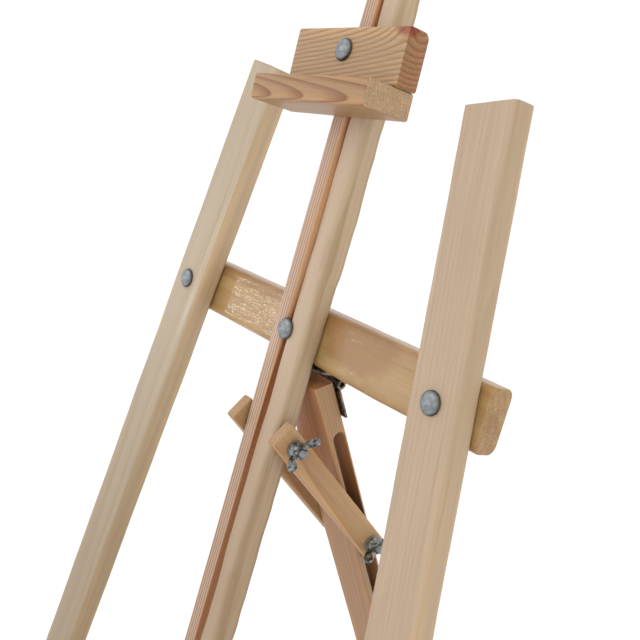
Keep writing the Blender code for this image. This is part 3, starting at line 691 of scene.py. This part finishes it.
def make_front_timbers():
    left = PLANE @ turned_about(LEG_TAPER, "Y")
    right = PLANE @ turned_about(-LEG_TAPER, "Y")
    # Painted light: fall darkens the leg towards the floor as painted shade, and the tint lightens its
    # right-facing face as painted light.
    pale = make_timber(
        "pale_pine_left_leg", early=(200, 182, 156), late=(182, 153, 117), seed=2, pith=(-0.02, 0.06),
        rings=150, contrast=0.30, fibre=0.10, fall=(0.45, -0.05, (0.74, 0.70, 0.66)),
        tints=(("X", 1, (1.14, 1.07, 0.99)),),
    )
    # Painted highlight: corner lightens the rounded edges.
    pink = make_timber(
        "pale_pine_right_leg", early=(201, 176, 148), late=(174, 139, 106), seed=3, pith=(-0.085, 0.012),
        rings=210, contrast=0.16, fibre=0.14, taper=0.006, wander=0.010, corner=(1.12, 1.09, 1.06),
        lines=0.10,
    )
    make_board("left_front_leg", left, pale, [0.0045] * 4, seed=2, ground=True)
    make_board("right_front_leg", right, pink, [0.0045] * 4, seed=3, ground=True,
               slopes=(RIGHT_LEG_SKEW, 0.0))

    # Painted light: the tint lightens the right-facing faces, the inside of the mast's slot among them, where they
    # lie in shade; fall darkens the strip downwards as painted shade.
    resinous = make_timber(
        "resinous_pine", early=(222, 193, 167), late=(166, 110, 76), seed=4, pith=(0.20, 0.01), rings=300,
        contrast=0.95, fibre=0.10, taper=0.0015, wander=0.002, patch=0.10, corner=(0.92, 0.88, 0.84),
        fall=(0.25, -0.20, (0.80, 0.78, 0.76)), tints=(("X", 1, (1.50, 1.28, 1.02)),),
    )
    # Painted shade: corner darkens the rounded edges along the shaded side, and fall darkens the strip towards the
    # bottom.
    creamy = make_timber(
        "pale_pine_mast", early=(214, 189, 160), late=(190, 160, 122), seed=5, pith=(0.02, -0.08), rings=130,
        contrast=0.32, fibre=0.10, corner=(0.80, 0.76, 0.70), fall=(0.25, -0.20, (0.78, 0.74, 0.70)),
    )
    make_board("mast_left_strip", PLANE, resinous, [0.0016] * 4, seed=4)
    make_board("mast_right_strip", PLANE, creamy, [0.0018, 0.0064, 0.0044, 0.0018], seed=5, waver=1.2)
    for node in ("mast_top_spacer", "mast_bottom_spacer"):
        make_board(node, PLANE, resinous, [0.0005] * 4, seed=6, end_round=0.0004)

    varnished = dict(
        early=(198, 163, 111), late=(174, 130, 78), rings=150, contrast=0.45, fibre=0.10, coat=0.4,
        roughness=0.45, blotch=(168, 124, 76), patch=0.22, end=(1.0, 0.99, 1.08), corner=(0.92, 0.86, 0.76),
        ripple=0.6,
    )
    upper = make_timber("varnished_pine", seed=7, pith=(0.01, -0.06), **varnished)
    lower = make_timber("varnished_pine_low", seed=17, pith=(-0.01, -0.05), **varnished)
    for node, material in (("upper_crossbar", upper), ("lower_crossbar", lower)):
        make_board(node, PLANE @ ALONG_X, material, [0.0070] * 4, seed=7, end_round=0.0016, waver=0.3)


def make_arm_timbers():
    turn = arm_plane()
    material = make_timber(
        "tan_pine_arms", early=(196, 158, 116), late=(166, 112, 62), pith=(0.06, 0.004), rings=240,
        taper=0.02, wander=0.008, contrast=0.6, seed=11, coat=0.05, patch=0.24, end=(1.02, 1.08, 1.22),
        calm=0.5,
    )
    for node, seed in (("left_tilt_arm", 12), ("right_tilt_arm", 13)):
        make_board(node, turn, material, [0.0022] * 4, seed=seed, pitch=0.006)


def make_clamp_timbers():
    turn = CLAMP_PLANE @ ALONG_X
    block = make_timber(
        "clamp_block_pine", early=(197, 163, 119), late=(152, 106, 64), pith=(-0.030, -0.004), rings=250,
        taper=0.10, wander=0.004, contrast=0.8, seed=14, coat=0.12, patch=0.1, end=(0.84, 0.66, 0.62),
        knots=((-0.024, -0.009, 0.073, 0.014),),
    )
    lip = make_timber(
        "clamp_lip_pine", early=(186, 145, 101), late=(138, 88, 47), pith=(0.004, -0.050), rings=300,
        taper=0.05, wander=0.010, contrast=0.85, seed=15, coat=0.12, patch=0.1, end=(1.20, 1.42, 1.95),
        calm=0.72,
    )
    make_board("clamp_block", turn, block, [0.0024, 0.0022, 0.0024, 0.0060], seed=14, pitch=0.005)
    make_board("clamp_lip", turn, lip, [0.0020, 0.0032, 0.0024, 0.0020], seed=15, pitch=0.005)


def make_shelf_timbers():
    turn = PLANE @ ALONG_X
    looks = {
        "shelf_rail": dict(seed=20, pith=(0.02, -0.05), rings=260, contrast=0.5),
        "shelf_ledge": dict(seed=21, pith=(-0.05, 0.01), rings=240, contrast=0.5, taper=0.02),
        "shelf_stop_strip": dict(seed=22, pith=(0.0, -0.09), rings=330, contrast=0.45),
    }
    for node, changes in looks.items():
        material = make_timber(node + "_pine", early=(207, 182, 150), late=(178, 138, 98), **changes)
        make_board(node, turn, material, [0.0024] * 4, seed=changes["seed"])
    key = make_timber("shelf_key_pine", seed=23)
    make_board("shelf_guide_key", PLANE, key, [0.0005] * 4, seed=23, end_round=0.0004, pitch=0.005)


# ---------------------------------------------------------------- the metal


def make_fasteners():
    # The plating's rim darkens each round head towards its edge: painted shade on the dome.
    zinc = make_zinc("zinc_plating", (0.32, 0.34, 0.35), (0.20, 0.215, 0.225), 0.50, 0.06, rim=0.75)
    cast = make_zinc("cast_zinc", (0.36, 0.38, 0.38), (0.05, 0.055, 0.055), 0.36, 0.9)
    front = PLANE @ TO_FRONT
    back = PLANE @ TO_BACK
    seed = 0
    for level in ("upper", "lower"):
        for part in ("left_leg", "mast", "right_leg"):
            seed += 1
            make_bolt(f"{level}_{part}_bolt", front, zinc, seed)
            make_washer(f"{level}_{part}_washer", back, zinc)
            make_hex_nut(f"{level}_{part}_nut", back, zinc)
    for name, twist in (("clamp", 8), ("shelf", 90)):
        make_bolt(name + "_bolt", front, zinc, 11 + twist)
        make_washer(name + "_washer", back, zinc)
        make_wing_nut(name + "_wing_nut", back @ turned_about(math.radians(twist), "Z"), cast)
    make_washer("left_pivot_spacer", PLANE @ TO_LEFT, zinc)
    make_washer("right_pivot_spacer", PLANE @ TO_RIGHT, zinc)
    for name, plane, twist in (("tilt_pivot", PLANE, -38), ("tilt_lock", arm_plane(), 72)):
        make_bolt(name + "_bolt", plane @ TO_LEFT, zinc, 31 + twist)
        make_washer(name + "_washer", plane @ TO_RIGHT, zinc)
        spun = plane @ TO_RIGHT @ turned_about(math.radians(twist), "Z")
        make_wing_nut(name + "_wing_nut", spun, cast)


def dress_cad_nodes():
    """The hinge and the hidden pieces keep their CAD shapes, with materials of their own."""
    steel = make_zinc("browned_steel", (0.30, 0.24, 0.20), (0.10, 0.075, 0.06), 0.38, 0.3)
    bright = make_zinc("screw_steel", (0.45, 0.44, 0.42), (0.25, 0.24, 0.23), 0.35, 0.2)
    beech = make_timber("dowel_beech", early=(205, 170, 130), late=(180, 140, 100), seed=30)
    for node, piece in frame["nodes"].items():
        if piece.hide_render:
            continue
        if node.endswith("dowel"):
            material = beech
        elif node.endswith("screw"):
            material = bright
        else:
            material = steel
        piece.data.materials.clear()
        piece.data.materials.append(material)


# ---------------------------------------------------------------- the studio


def make_floor():
    """A wide pale floor."""
    mesh = bmesh.new()
    bmesh.ops.create_circle(mesh, cap_ends=True, segments=96, radius=60.0)
    material, tree, shader = new_material("pale_floor")
    place = tree.nodes.new("ShaderNodeTexCoord").outputs["Object"]
    grain = speckle(tree, place, 3.0, 3.0)
    shades = [(0.92, 0.935, 0.975, 1.0), (0.93, 0.945, 0.985, 1.0)]
    put(tree, shader.inputs["Base Color"], mix(tree, grain, *shades))
    shader.inputs["Roughness"].default_value = 0.9
    shader.inputs["Specular IOR Level"].default_value = 0.1
    floor = finish_mesh(mesh, "studio_floor", material)
    floor.location.z = -0.0005


# The lamps in the white surroundings: name, size, power and place. The gleam shows only in glossy surfaces.
LAMPS = (("key", 1.6, 10.0, (-1.5, -2.0, 2.6)), ("gleam", 0.16, 2.0, (-1.64, -1.15, 1.00)))


def make_light():
    world = bpy.data.worlds.new("studio")
    bpy.context.scene.world = world
    world.use_nodes = True
    tree = world.node_tree
    sky = tree.nodes["Background"]
    split = tree.nodes.new("ShaderNodeSeparateXYZ")
    tree.links.new(tree.nodes.new("ShaderNodeTexCoord").outputs["Generated"], split.inputs[0])
    warmth = fade(tree, split.outputs["X"], -0.9, 0.9)
    warmth = calc(tree, "MULTIPLY", warmth, fade(tree, split.outputs["Z"], 0.08, 0.32))
    put(tree, sky.inputs["Color"], mix(tree, warmth, (0.99, 1.0, 1.10, 1.0), (1.00, 0.935, 0.71, 1.0)))
    sky.inputs["Strength"].default_value = 1.14
    for name, size, energy, place in LAMPS:
        lamp = bpy.data.lights.new(name, "AREA")
        lamp.shape = "DISK"
        lamp.size = size
        lamp.energy = energy
        light = bpy.data.objects.new(name, lamp)
        bpy.context.scene.collection.objects.link(light)
        light.location = place
        light.visible_diffuse = name != "gleam"
        aim = Vector((0.0, 0.1, 1.0)) - light.location
        light.rotation_euler = aim.to_track_quat("-Z", "Y").to_euler()


def make_camera():
    lens = bpy.data.cameras.new("view")
    lens.sensor_width = 36.0
    lens.lens = 52.37
    camera = bpy.data.objects.new("view", lens)
    bpy.context.scene.collection.objects.link(camera)
    camera.location = (0.6630, -0.4267, 1.2489)
    camera.rotation_euler = (math.radians(69.49), 0.0, math.radians(53.81))
    bpy.context.scene.camera = camera
    bpy.context.scene.view_settings.view_transform = "Standard"


make_camera()
make_light()
make_floor()
make_front_timbers()
make_rear_leg()
make_arm_timbers()
make_clamp_timbers()
make_shelf_timbers()
make_fasteners()
dress_cad_nodes()
